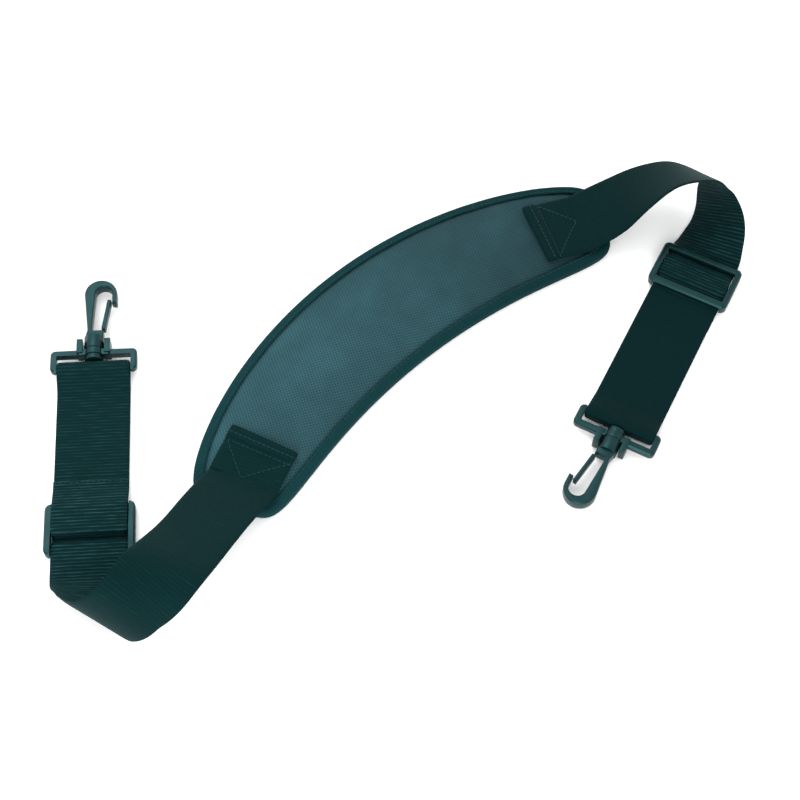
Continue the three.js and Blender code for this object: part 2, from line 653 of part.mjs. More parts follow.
function gateGeometry() {
  const half = GATE_THICKNESS / 2;
  return boxBetween([-half, -half, -GATE_HEIGHT / 2], [GATE_REACH, half, GATE_HEIGHT / 2]);
}

// Assembly

function piece(name, geometry, material) {
  const mesh = new THREE.Mesh(geometry, material);
  mesh.name = name;
  return mesh;
}

function hardware(side) {
  const group = new THREE.Group();
  group.position.set(side.x, side.y, 0);
  group.rotation.z = radians(side.heading);

  const slider = piece(`slider_${side.name}`, sliderGeometry(), MATERIALS.plastic);
  if (!side.frontUp) {
    slider.rotation.x = Math.PI;
    slider.position.z = FLIP_HEIGHT;
  }

  const hook = new THREE.Group();
  hook.position.set(side.barReach, 0, HOOK_AXIS_HEIGHT);
  hook.add(piece(`hook_frame_${side.name}`, frameGeometry(), MATERIALS.plastic));
  hook.add(piece(`snap_hook_${side.name}`, snapHookGeometry(), MATERIALS.plastic));
  const gate = piece(`hook_gate_${side.name}`, gateGeometry(), MATERIALS.plastic);
  gate.position.set(GATE_ROOT.x, GATE_ROOT.y, 0);
  gate.rotation.z = GATE_ANGLE;
  hook.add(gate);

  group.add(slider, hook);
  return group;
}

const strap = new THREE.Group();

const pad = new THREE.Group();
pad.position.set(PAD_PLACE.x, PAD_PLACE.y, 0);
pad.rotation.z = radians(PAD_PLACE.turn);
pad.add(piece('pad', padGeometry(), MATERIALS.padFace));
pad.add(piece('pad_binding', bindingGeometry(), MATERIALS.binding));
strap.add(pad);

for (const side of SIDES) {
  strap.add(piece(`webbing_${side.name}`, webbingGeometry(side), MATERIALS.webbing));
  strap.add(hardware(side));
}

// The origin: the middle of the strap's box, on the table
strap.updateMatrixWorld(true);
const middle = new THREE.Box3().setFromObject(strap, true).getCenter(new THREE.Vector3());
strap.position.set(-middle.x, -middle.y, 0);

export default strap;
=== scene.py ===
"""Padded shoulder strap, dressed over its CAD frame.

A crescent pad with a bound edge lies on a table. A webbing is sewn to each end of it, rises off the
pad, rolls over and comes back with its other face up, through a slider to a swivelling snap hook.
Metres, +Z up, the table is z = 0.
"""

import logging
import math
from dataclasses import dataclass, field
from enum import Enum

import bmesh
import bpy
import numpy as np
from bpy.types import Material, Mesh, Node, NodeSocket, NodeTree, Object
from mathutils import Matrix, Vector, noise


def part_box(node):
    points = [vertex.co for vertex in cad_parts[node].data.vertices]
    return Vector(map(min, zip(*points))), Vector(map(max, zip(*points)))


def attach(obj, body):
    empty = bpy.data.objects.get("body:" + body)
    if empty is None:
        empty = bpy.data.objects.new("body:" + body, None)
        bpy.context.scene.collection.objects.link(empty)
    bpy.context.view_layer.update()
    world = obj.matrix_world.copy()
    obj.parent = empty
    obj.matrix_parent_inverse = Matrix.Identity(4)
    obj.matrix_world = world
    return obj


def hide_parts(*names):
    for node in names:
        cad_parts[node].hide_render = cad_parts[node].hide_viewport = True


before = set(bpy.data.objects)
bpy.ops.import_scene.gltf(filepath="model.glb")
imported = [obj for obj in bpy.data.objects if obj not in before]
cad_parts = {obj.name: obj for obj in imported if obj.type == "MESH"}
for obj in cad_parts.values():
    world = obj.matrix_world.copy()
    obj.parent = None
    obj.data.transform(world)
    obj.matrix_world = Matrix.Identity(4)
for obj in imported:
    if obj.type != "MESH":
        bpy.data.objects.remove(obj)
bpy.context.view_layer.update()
LOG = logging.getLogger("strap")
MM = 0.001


class Lie(Enum):
    """Which way up a slider lies on the table."""

    FRONT_UP = "front up"
    BACK_UP = "back up"


class Face(Enum):
    """The two faces of the webbing: the ribbed one and the smoother one."""

    RIBBED = 1.0
    SMOOTH = 0.2


# Finishes


def grey(lightness: float) -> tuple[float, float, float, float]:
    """A grey of a given lightness."""
    return (lightness, lightness, lightness, 1.0)


@dataclass(frozen=True)
class Nodes:
    """Adds nodes to a tree. Each input takes a socket or a plain value.

    Args:
        tree: the tree.
    """

    tree: NodeTree

    def feed(self, entry: NodeSocket, value: object) -> None:
        """Feeds an input.

        Args:
            entry: the input.
            value: a socket, which is linked to it, or a plain value.
        """
        if isinstance(value, NodeSocket):
            self.tree.links.new(value, entry)
        else:
            entry.default_value = value

    def adjust(self, node: Node, **settings: object) -> None:
        """Sets up a node.

        Args:
            node: the node.
            settings: its properties, and its inputs by name with blanks as underscores.
        """
        for key, value in settings.items():
            if hasattr(node, key):
                setattr(node, key, value)
            else:
                self.feed(node.inputs[key.replace("_", " ")], value)

    def add(self, kind: str, *values: object, **settings: object) -> Node:
        """Adds a node.

        Args:
            kind: the node's type name.
            values: its first inputs, in order.
            settings: as in adjust.

        Returns:
            The new node.
        """
        node = self.tree.nodes.new(kind)
        self.adjust(node, **settings)
        for entry, value in zip(node.inputs, values):
            self.feed(entry, value)
        return node

    def place(self) -> NodeSocket:
        """The place in the piece, in metres."""
        return self.add("ShaderNodeTexCoord").outputs["Object"]

    def math(self, operation: str, *values: object) -> NodeSocket:
        """The result of a math node, under Blender's name of the operation."""
        return self.add("ShaderNodeMath", *values, operation=operation).outputs[0]

    def noise(self, place: NodeSocket, scale: float, detail: float) -> NodeSocket:
        """The value of a noise texture."""
        texture = self.add("ShaderNodeTexNoise", Vector=place, Scale=scale, Detail=detail, Roughness=0.6)
        return texture.outputs["Fac"]

    def wave(self, distance: NodeSocket, pitch: float) -> NodeSocket:
        """A smooth wave from 0 to 1 along a distance, with a pitch in metres."""
        turned = self.math("MULTIPLY", distance, 2 * math.pi / pitch)
        return self.math("MULTIPLY_ADD", self.math("SINE", turned), 0.5, 0.5)

    def ramp(self, factor: NodeSocket, stops: dict[float, tuple]) -> NodeSocket:
        """A colour ramp.

        Args:
            factor: what it follows.
            stops: the colours by their place.

        Returns:
            The ramp's colour.
        """
        ramp = self.add("ShaderNodeValToRGB", factor)
        elements = ramp.color_ramp.elements
        places = sorted(stops)
        elements[0].position, elements[0].color = places[0], stops[places[0]]
        elements[1].position, elements[1].color = places[-1], stops[places[-1]]
        for place in places[1:-1]:
            elements.new(place).color = stops[place]
        return ramp.outputs[0]

    def multiply(self, first: NodeSocket, second: NodeSocket) -> NodeSocket:
        """Multiplies two colours.

        Args:
            first: one colour.
            second: the other one.

        Returns:
            The product.
        """
        mix = self.add("ShaderNodeMix", 1.0, data_type="RGBA", blend_type="MULTIPLY")
        self.tree.links.new(first, mix.inputs[6])
        self.tree.links.new(second, mix.inputs[7])
        return mix.outputs[2]

    def fade(self, color: NodeSocket, share: float, reach: float = 90 * MM) -> NodeSocket:
        """Darkens a colour evenly from the pad's left end to its right end, as painted shade.

        Args:
            color: the colour.
            share: how light the right end is, as a share of the left end.
            reach: how far to each side of the middle it changes.

        Returns:
            The faded colour.
        """
        across = self.add("ShaderNodeSeparateXYZ", self.place()).outputs[0]
        span = self.add(
            "ShaderNodeMapRange", Value=across, From_Min=-reach, From_Max=reach, To_Min=1.0, To_Max=share
        )
        return self.multiply(color, span.outputs[0])

    def bump(self, height: object, depth: float, strength: float, **under: object) -> NodeSocket:
        """A bump.

        Args:
            height: the socket that gives the relief.
            depth: the relief's depth in metres.
            strength: how strongly it shows.
            under: the Normal of a coarser bump below it, if any.

        Returns:
            The bump's normal.
        """
        bump = self.add("ShaderNodeBump", Strength=strength, Distance=depth, Height=height, **under)
        return bump.outputs["Normal"]


@dataclass(frozen=True)
class Finish:
    """What every finish has.

    Args:
        name: the material's name.
        color: its main colour, linear.
        roughness: how matt it is.
        fade: painted shade, how light it is at the pad's right end as a share of its left end.
    """

    name: str
    color: tuple[float, float, float]
    roughness: float
    fade: float = 1.0

    def looks(self, nodes: Nodes) -> dict[str, object]:
        """What the shader's inputs get besides the roughness.

        Args:
            nodes: the maker of the material's nodes.

        Returns:
            Sockets and plain values by the input's name, with blanks as underscores.
        """
        raise NotImplementedError

    def make(self) -> Material:
        """Builds the material."""
        material = bpy.data.materials.new(self.name)
        material.use_nodes = True
        nodes = Nodes(material.node_tree)
        shader = material.node_tree.nodes["Principled BSDF"]
        nodes.adjust(shader, **{"Roughness": self.roughness, **self.looks(nodes)})
        return material

    def shade(self, factor: float) -> tuple[float, float, float, float]:
        """The finish's colour made lighter or darker by a factor."""
        return (*(min(1.0, channel * factor) for channel in self.color), 1.0)


@dataclass(frozen=True)
class GridCloth(Finish):
    """The pad's face: a fine grid weave with soft lighter patches.

    Args:
        pitch: the grid's spacing.
        turn: the grid's turn about the vertical, in radians.
        stray: how far the yarns stray.
        grid_depth: how deep the grid is.
        fuzz_depth: how deep the fibres' roughness is.
    """

    pitch: float = 1.5 * MM
    turn: float = 0.0
    stray: float = 0.6 * MM
    grid_depth: float = 0.16 * MM
    fuzz_depth: float = 0.08 * MM

    def looks(self, nodes: Nodes) -> dict[str, object]:
        """What its shader gets, as in Finish."""
        place = nodes.place()
        turned = nodes.add("ShaderNodeMapping", Vector=place, Rotation=(0, 0, self.turn)).outputs[0]
        wobble = nodes.add("ShaderNodeTexNoise", Vector=turned, Scale=90.0, Detail=2.0).outputs["Color"]
        stray = (self.stray, self.stray, 0)
        shifted = nodes.add("ShaderNodeVectorMath", wobble, stray, turned, operation="MULTIPLY_ADD")
        x, y, _ = nodes.add("ShaderNodeSeparateXYZ", shifted.outputs[0]).outputs
        grid = nodes.math("MAXIMUM", nodes.wave(x, self.pitch), nodes.wave(y, self.pitch))
        tone = nodes.ramp(nodes.noise(place, 22.0, 4.0), {
            0.3: self.shade(0.78), 0.5: self.shade(1.0), 0.72: self.shade(1.32),
        })
        holes = nodes.ramp(grid, {0.3: grey(0.6), 0.9: grey(1.14)})
        coarse = nodes.bump(grid, self.grid_depth, 0.7)
        fuzz = nodes.noise(place, 1500.0, 2.0)
        return dict(
            # Painted shade: the cloth is painted darker towards the pad's right end.
            Base_Color=nodes.fade(nodes.multiply(tone, holes), self.fade),
            Normal=nodes.bump(fuzz, self.fuzz_depth, 0.35, Normal=coarse),
            Sheen_Weight=0.06, Sheen_Tint=(0.5, 0.9, 1.0, 1.0), Specular_IOR_Level=0.1,
        )


@dataclass(frozen=True)
class RibbedWebbing(Finish):
    """Webbing or tape: cross ribs along its length with painted highlights, twisted yarns across them.

    Args:
        rib_pitch: the spacing of the cross ribs.
        rib_depth: how deep the ribs are.
        rib_stray: how far the ribs stray.
        yarn_pitch: the spacing of the yarns across the width.
        yarn_depth: how deep the yarns are.
        crown_highlight: the painted highlight colour of the ribs' crowns, linear.
        break_scale: how often the ribs' painted highlight lines are broken, per metre across.
    """

    rib_pitch: float = 1.85 * MM
    rib_depth: float = 0.28 * MM
    rib_stray: float = 0.4 * MM
    yarn_pitch: float = 1.1 * MM
    yarn_depth: float = 0.06 * MM
    crown_highlight: tuple[float, float, float] = (0.013, 0.042, 0.047)
    break_scale: float = 110.0

    def looks(self, nodes: Nodes) -> dict[str, object]:
        """What its shader gets, as in Finish, from the map "weave" and the attribute "ribbing"."""
        weave = nodes.add("ShaderNodeUVMap", uv_map="weave").outputs[0]
        ribbing = nodes.add("ShaderNodeAttribute", attribute_name="ribbing").outputs["Fac"]
        across, along, _ = nodes.add("ShaderNodeSeparateXYZ", weave).outputs
        wobble = nodes.noise(nodes.place(), 260.0, 2.0)
        rib = nodes.wave(nodes.math("MULTIPLY_ADD", wobble, self.rib_stray, along), self.rib_pitch)
        yarn = nodes.wave(across, self.yarn_pitch)
        slant = nodes.wave(nodes.math("ADD", across, along), self.yarn_pitch)
        scale = (self.break_scale, self.break_scale * 6, 0)
        scaled = nodes.add("ShaderNodeVectorMath", weave, scale, operation="MULTIPLY").outputs[0]
        spread = nodes.math("MULTIPLY_ADD", nodes.noise(scaled, 1.0, 2.0), 2.6, -0.8)
        spread.node.use_clamp = True
        # Painted highlight: the ribs' crowns are painted towards a lighter colour, in broken lines.
        highlit_crowns = nodes.math("MULTIPLY", nodes.math("POWER", rib, 3.0), ribbing)
        lines = nodes.math("MULTIPLY", highlit_crowns, nodes.math("MAXIMUM", spread, 0.3))
        tone = nodes.ramp(nodes.math("ADD", lines, nodes.math("MULTIPLY", slant, 0.12)), {
            0.0: self.shade(0.75), 0.15: self.shade(1.05), 0.8: (*self.crown_highlight, 1.0),
        })
        coarse = nodes.bump(nodes.math("MULTIPLY", rib, ribbing), self.rib_depth, 0.7)
        return dict(
            # Painted shade: the webbing or tape is painted darker towards the pad's right end.
            Base_Color=nodes.fade(tone, self.fade),
            Normal=nodes.bump(nodes.math("ADD", yarn, slant), self.yarn_depth, 0.4, Normal=coarse),
            Sheen_Weight=0.02, Sheen_Tint=(0.2, 0.9, 1.0, 1.0),
            Specular_IOR_Level=0.09, Specular_Tint=(0.2, 0.95, 1.0, 1.0),
        )


@dataclass(frozen=True)
class MouldedPlastic(Finish):
    """Moulded plastic with a fine grain and faint handling marks."""

    def looks(self, nodes: Nodes) -> dict[str, object]:
        """What its shader gets, as in Finish."""
        place = nodes.place()
        marks = nodes.noise(place, 130.0, 5.0)
        low, high = self.roughness - 0.08, self.roughness + 0.14
        return dict(
            Base_Color=nodes.ramp(marks, {0.35: self.shade(0.85), 0.7: self.shade(1.25)}),
            Roughness=nodes.ramp(marks, {0.3: grey(low), 0.75: grey(high)}),
            Normal=nodes.bump(nodes.noise(place, 2600.0, 2.0), 0.03 * MM, 0.25),
            Specular_IOR_Level=0.34, Specular_Tint=(0.35, 0.95, 1.0, 1.0),
        )


@dataclass(frozen=True)
class Thread(Finish):
    """Sewing thread: two twisted plies."""

    def looks(self, nodes: Nodes) -> dict[str, object]:
        """What its shader gets, as in Finish."""
        plies = nodes.noise(nodes.place(), 1800.0, 1.0)
        return dict(
            Base_Color=nodes.ramp(plies, {0.35: self.shade(0.7), 0.65: self.shade(1.3)}),
            Normal=nodes.bump(plies, 0.05 * MM, 0.4), Specular_IOR_Level=0.15,
        )


@dataclass(frozen=True)
class PaleFloor(Finish):
    """The plain pale floor."""

    def looks(self, nodes: Nodes) -> dict[str, object]:
        """What its shader gets, as in Finish."""
        grain = nodes.noise(nodes.place(), 40.0, 2.0)
        return dict(
            Base_Color=nodes.ramp(grain, {0.3: self.shade(0.99), 0.7: self.shade(1.0)}),
            Specular_IOR_Level=0.1,
        )


# Meshes


def new_piece(name: str, mesh: Mesh) -> Object:
    """Puts a mesh into the scene as an object at the origin."""
    piece = bpy.data.objects.new(name, mesh)
    bpy.context.scene.collection.objects.link(piece)
    return piece


def bake(piece: Object) -> Object:
    """Turns a piece with live modifiers into a plain mesh.

    Args:
        piece: the piece, which is removed.

    Returns:
        The new piece, under the same name.
    """
    name = piece.name
    depsgraph = bpy.context.evaluated_depsgraph_get()
    mesh = bpy.data.meshes.new_from_object(piece.evaluated_get(depsgraph))
    bpy.data.objects.remove(piece)
    plain = new_piece(name, mesh)
    mesh.name = name
    return plain


def read_points(mesh: Mesh) -> np.ndarray:
    """A mesh's points as rows of x, y and z."""
    flat = np.empty(len(mesh.vertices) * 3)
    mesh.vertices.foreach_get("co", flat)
    return flat.reshape(-1, 3)


def smooth(mesh: Mesh, crease: float = 35.0) -> None:
    """Shades a mesh smooth, with edges above an angle in degrees kept sharp."""
    mesh.polygons.foreach_set("use_smooth", [True] * len(mesh.polygons))
    mesh.set_sharp_from_angle(angle=math.radians(crease))


def skin(rings: np.ndarray, closed_way: bool) -> tuple[np.ndarray, list[tuple[int, ...]]]:
    """Joins a row of rings with equal point counts into one closed surface.

    Args:
        rings: points as (ring, point, xyz).
        closed_way: whether the last ring joins the first one; otherwise both ends are capped.

    Returns:
        The points and the faces.
    """
    rows, count, _ = rings.shape
    faces = []
    for row in range(rows if closed_way else rows - 1):
        here, there = row * count, ((row + 1) % rows) * count
        for point in range(count):
            following = (point + 1) % count
            faces.append((here + point, here + following, there + following, there + point))
    if not closed_way:
        last = (rows - 1) * count
        faces.append(tuple(reversed(range(count))))
        faces.append(tuple(last + point for point in range(count)))
    return rings.reshape(-1, 3), faces


def make_mesh(name: str, points: np.ndarray, faces: list[tuple[int, ...]]) -> Mesh:
    """Makes a closed mesh with its faces outwards.

    Args:
        name: the mesh's name.
        points: its points.
        faces: its faces as point numbers.

    Returns:
        The mesh.
    """
    mesh = bpy.data.meshes.new(name)
    mesh.from_pydata([tuple(point) for point in points], [], faces)
    shape = bmesh.new()
    shape.from_mesh(mesh)
    bmesh.ops.recalc_face_normals(shape, faces=shape.faces)
    shape.to_mesh(mesh)
    shape.free()
    return mesh


# Stitching


STITCH_INPUTS = {
    "Line": "Geometry", "Pitch": "Float", "Length": "Float", "Thread Radius": "Float", "Seed": "Int",
    "Thread": "Material",
}


@dataclass
class StitchTree:
    """A row of stitches along a line, made by Geometry Nodes.

    Args:
        thread: the stitches' material.
        pitch: from one stitch to the next.
        length: one stitch's length.
        radius: the thread's half thickness.
        seed: the seed of the small turns.
        slack: the most that a stitch is turned up or down and aside, in radians.
    """

    thread: Material
    pitch: float = 2.6 * MM
    length: float = 2.4 * MM
    radius: float = 0.22 * MM
    seed: int = 7
    slack: tuple[float, float] = (0.05, 0.09)
    tree: NodeTree = field(init=False)

    def __post_init__(self) -> None:
        """Builds the tree once for all rows."""
        self.tree = bpy.data.node_groups.new("stitch_row", "GeometryNodeTree")
        for name, kind in STITCH_INPUTS.items():
            self.tree.interface.new_socket(name, in_out="INPUT", socket_type=f"NodeSocket{kind}")
        self.tree.interface.new_socket("Stitches", in_out="OUTPUT", socket_type="NodeSocketGeometry")
        nodes = Nodes(self.tree)
        given = nodes.add("NodeGroupInput").outputs

        def grow(kind: str, *values: object, **settings: object) -> NodeSocket:
            """Adds a node and gives its first output."""
            return nodes.add(kind, *values, **settings).outputs[0]

        line = grow("GeometryNodeMeshToCurve", given["Line"])
        spaced = grow("GeometryNodeResampleCurve", mode="LENGTH", Curve=line, Length=given["Pitch"])
        tangent = grow("GeometryNodeInputTangent")
        aligned = grow("FunctionNodeAlignRotationToVector", axis="X", Vector=tangent)
        least, most = (tuple(sign * part for part in (0, *self.slack)) for sign in (-1, 1))
        jitter = grow("FunctionNodeRandomValue", least, most, data_type="FLOAT_VECTOR", Seed=given["Seed"])
        turned = grow(
            "FunctionNodeRotateRotation", rotation_space="LOCAL", Rotation=aligned, Rotate_By=jitter
        )
        bead = grow("GeometryNodeMeshUVSphere", Segments=8, Rings=6, Radius=1.0)
        radius = given["Thread Radius"]
        size = grow("ShaderNodeCombineXYZ", nodes.math("MULTIPLY", given["Length"], 0.5), radius, radius)
        shaped = grow("GeometryNodeTransform", Geometry=bead, Scale=size)
        placed = grow("GeometryNodeInstanceOnPoints", Points=spaced, Instance=shaped, Rotation=turned)
        real = grow("GeometryNodeRealizeInstances", placed)
        nodes.add("NodeGroupOutput", grow("GeometryNodeSetMaterial", Geometry=real, Material=given["Thread"]))

    def sew(self, name: str, lines: list[list[Vector]], closed: bool = False) -> Object:
        """Sews stitches along lines.

        Args:
            name: the piece's name.
            lines: each line's points.
            closed: whether each line ends where it starts.

        Returns:
            The stitches as one plain mesh.
        """
        points: list[tuple] = []
        edges: list[tuple[int, int]] = []
        for line in lines:
            first = len(points)
            points += [tuple(point) for point in line]
            edges += [(first + place, first + place + 1) for place in range(len(line) - 1)]
            if closed:
                edges.append((first + len(line) - 1, first))
        mesh = bpy.data.meshes.new(name)
        mesh.from_pydata(points, edges, [])
        row = new_piece(name, mesh)
        modifier = row.modifiers.new("stitches", "NODES")
        modifier.node_group = self.tree
        given = {
            "Pitch": self.pitch, "Length": self.length, "Thread Radius": self.radius,
            "Seed": self.seed, "Thread": self.thread,
        }
        for item in self.tree.interface.items_tree:
            if item.in_out == "INPUT" and item.name in given:
                modifier[item.identifier] = given[item.name]
        sewn = bake(row)
        smooth(sewn.data, 60.0)
        return sewn


# The pad


@dataclass(frozen=True)
class Crescent:
    """The pad's plan: an arc with half widths that narrow to its ends.

    Args:
        x: the arc's middle, to the right.
        y: the arc's middle, away.
        turn: the arc's turn in degrees.
        length: along the arc.
        width: at the middle.
        end_width: at the ends.
        radius: of the arc.
        corner_power: how square the ends' corners are.
    """

    x: float = -11.7 * MM
    y: float = 50.5 * MM
    turn: float = 43.8
    length: float = 281 * MM
    width: float = 72 * MM
    end_width: float = 56 * MM
    radius: float = 266 * MM
    corner_power: float = 6.2

    def place(self, along: np.ndarray, out: np.ndarray, height: np.ndarray) -> np.ndarray:
        """Points on the table from their places along and off the arc, before the strap is centred.

        Args:
            along: distances along the arc from its middle.
            out: distances off the arc, away from its centre.
            height: heights above the table.

        Returns:
            The points.
        """
        angle = along / self.radius
        reach = self.radius + out
        east, north = reach * np.sin(angle), reach * np.cos(angle) - self.radius
        turn = math.radians(self.turn)
        return np.stack([
            self.x + east * math.cos(turn) - north * math.sin(turn),
            self.y + east * math.sin(turn) + north * math.cos(turn),
            np.broadcast_to(height, east.shape),
        ], axis=-1)

    def find(self, points: np.ndarray) -> tuple[np.ndarray, np.ndarray]:
        """The places along and off the arc of points on the table."""
        turn = math.radians(self.turn)
        east, north = points[:, 0] - self.x, points[:, 1] - self.y
        across = east * math.cos(turn) + north * math.sin(turn)
        up = north * math.cos(turn) - east * math.sin(turn) + self.radius
        return np.arctan2(across, up) * self.radius, np.hypot(across, up) - self.radius

    def half_width(self, along: np.ndarray, inset: float = 0.0) -> np.ndarray:
        """The half width at a place along the arc, without the corners."""
        swell = np.cos(np.pi * along / self.length)
        return (self.end_width + (self.width - self.end_width) * swell) / 2 - inset

    def rim(self, inset: float | np.ndarray, steps: int) -> tuple[np.ndarray, np.ndarray]:
        """The outline moved inwards, as places along and off the arc."""
        angle = -2 * np.pi * (np.arange(steps) + 0.5) / steps
        along = (self.length / 2 - inset) * np.cos(angle)
        corner = (1 - np.abs(np.cos(angle)) ** self.corner_power) ** (1 / self.corner_power)
        return along, self.half_width(along, inset) * corner * np.sign(np.sin(angle))

    def centring(self) -> Vector:
        """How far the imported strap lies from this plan, read from the frame's bound edge."""
        low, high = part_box("pad_binding")
        rim = self.place(*self.rim(0.0, 720), 0.0)
        middle = (rim.min(axis=0) + rim.max(axis=0)) / 2
        shift = (low + high) / 2 - Vector(middle)
        return Vector((shift.x, shift.y, 0))


@dataclass
class OnPlan:
    """What is laid out on the pad's plan.

    Args:
        plan: the pad's outline.
        shift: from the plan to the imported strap.
    """

    plan: Crescent
    shift: Vector


PULLED_CLOTH = {
    "quality": 4, "mass": 0.3, "tension_stiffness": 12, "compression_stiffness": 12,
    "bending_stiffness": 2.0, "use_pressure": True, "uniform_pressure_force": 4.0,
    "vertex_group_mass": "held",
}
# Each row: how often the dents come along and across, a noise height, and a depth in millimetres.
DENTS = ((26, 34, 2.0, 0.32), (60, 70, 9.0, 0.12))


@dataclass
class Pad(OnPlan):
    """The foam pad with its woven face.

    Args:
        height: the pad's full height.
        rim_height: the height of its edge inside the binding.
        rim_inset: how far the foam's edge stays inside the binding's edge.
        voxel: the remeshing size for the cloth simulation.
        swell: the most that the fabric may move in the simulation.
        cloth_frames: how long the simulation runs.
        press_reach: how far the dent under a sewn end fades out.
    """

    height: float = 8.6 * MM
    rim_height: float = 5.2 * MM
    rim_inset: float = 2.2 * MM
    voxel: float = 3.6 * MM
    swell: float = 1.1 * MM
    cloth_frames: int = 20
    press_reach: float = 6 * MM

    def foam(self) -> Object:
        """The foam before its fabric is pulled tight: a low crowned body."""
        low = 0.6 * MM
        profile = (
            (6.0 * MM, low), (self.rim_inset, 1.6 * MM), (self.rim_inset, self.rim_height),
            (6.0 * MM, self.rim_height + 0.9 * MM), (11 * MM, self.height - 0.9 * MM),
            (20 * MM, self.height - 0.35 * MM),
        )
        steps = 150
        rings = [self.plan.place(*self.plan.rim(inset, steps), z) for inset, z in profile]
        points, faces = skin(np.array(rings), closed_way=False)
        return new_piece("pad_foam", make_mesh("pad_foam", points + np.array(self.shift), faces))

    def pull_tight(self, piece: Object) -> Object:
        """Remeshes the foam and inflates it as cloth, held at its rim.

        Args:
            piece: the foam.

        Returns:
            The pad with its simulated surface as a plain mesh.
        """
        remesh = piece.modifiers.new("remesh", "REMESH")
        remesh.mode = "VOXEL"
        remesh.voxel_size = self.voxel
        piece = bake(piece)
        start = read_points(piece.data)
        along, out = self.plan.find(start - np.array(self.shift))
        edge = self.plan.half_width(along) - np.abs(out)
        end = self.plan.length / 2 - np.abs(along)
        held = np.flatnonzero((np.minimum(edge, end) < 5.5 * MM) | (start[:, 2] < 1.5 * MM))
        group = piece.vertex_groups.new(name="held")
        group.add([int(number) for number in held], 1.0, "REPLACE")
        cloth = piece.modifiers.new("cloth", "CLOTH")
        for key, value in PULLED_CLOTH.items():
            setattr(cloth.settings, key, value)
        cloth.settings.effector_weights.gravity = 0.0
        cloth.point_cache.frame_start, cloth.point_cache.frame_end = 1, self.cloth_frames
        for number in range(1, self.cloth_frames + 1):
            bpy.context.scene.frame_set(number)
        piece = bake(piece)
        bpy.context.scene.frame_set(1)
        move = read_points(piece.data) - start
        far = np.linalg.norm(move, axis=1, keepdims=True)
        move *= np.minimum(1.0, self.swell / np.maximum(far, 1e-9))
        piece.data.vertices.foreach_set("co", (start + move).ravel())
        subdivision = piece.modifiers.new("fine", "SUBSURF")
        subdivision.levels = subdivision.render_levels = 2
        return bake(piece)

    def settle(self, piece: Object, laps: list["WebbingRun"]) -> None:
        """Lets the pad lie flat below and give way under the sewn webbing ends.

        Args:
            piece: the pad.
            laps: the webbings that are sewn to it.
        """
        mesh = piece.data
        spots = read_points(mesh)
        along, out = self.plan.find(spots - np.array(self.shift))
        top = spots[:, 2] > self.rim_height * 0.75
        dents = np.array([
            sum(noise.noise(Vector((a * often, o * over, z))) * depth for often, over, z, depth in DENTS)
            for a, o in zip(along, out)
        ])
        spots[top, 2] += dents[top] * MM
        for lap in laps:
            inside = lap.side.end * along - (self.plan.length / 2 - lap.side.lap)
            aside = np.abs(out - lap.side.across) - lap.tape.width / 2
            press = np.clip(inside / self.press_reach + 1, 0, 1) * np.clip(1 - aside / self.press_reach, 0, 1)
            press = press * press * (3 - 2 * press)
            limit = lap.pad_top - 0.25 * MM
            lower = np.minimum(spots[:, 2], limit)
            spots[top, 2] += (press * (lower - spots[:, 2]))[top]
        spots[:, 2] = np.maximum(spots[:, 2], 0.3 * MM)
        mesh.vertices.foreach_set("co", spots.ravel())
        mesh.update()

    def make(self, cloth: Material, laps: list["WebbingRun"]) -> Object:
        """Makes the pad.

        Args:
            cloth: its material.
            laps: the webbings that are sewn to it.

        Returns:
            The pad, riding on the strap.
        """
        piece = self.pull_tight(self.foam())
        self.settle(piece, laps)
        piece.name = piece.data.name = "padded_crescent"
        piece.data.materials.clear()
        piece.data.materials.append(cloth)
        smooth(piece.data, 80.0)
        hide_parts("pad")
        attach(piece, "strap")
        return piece


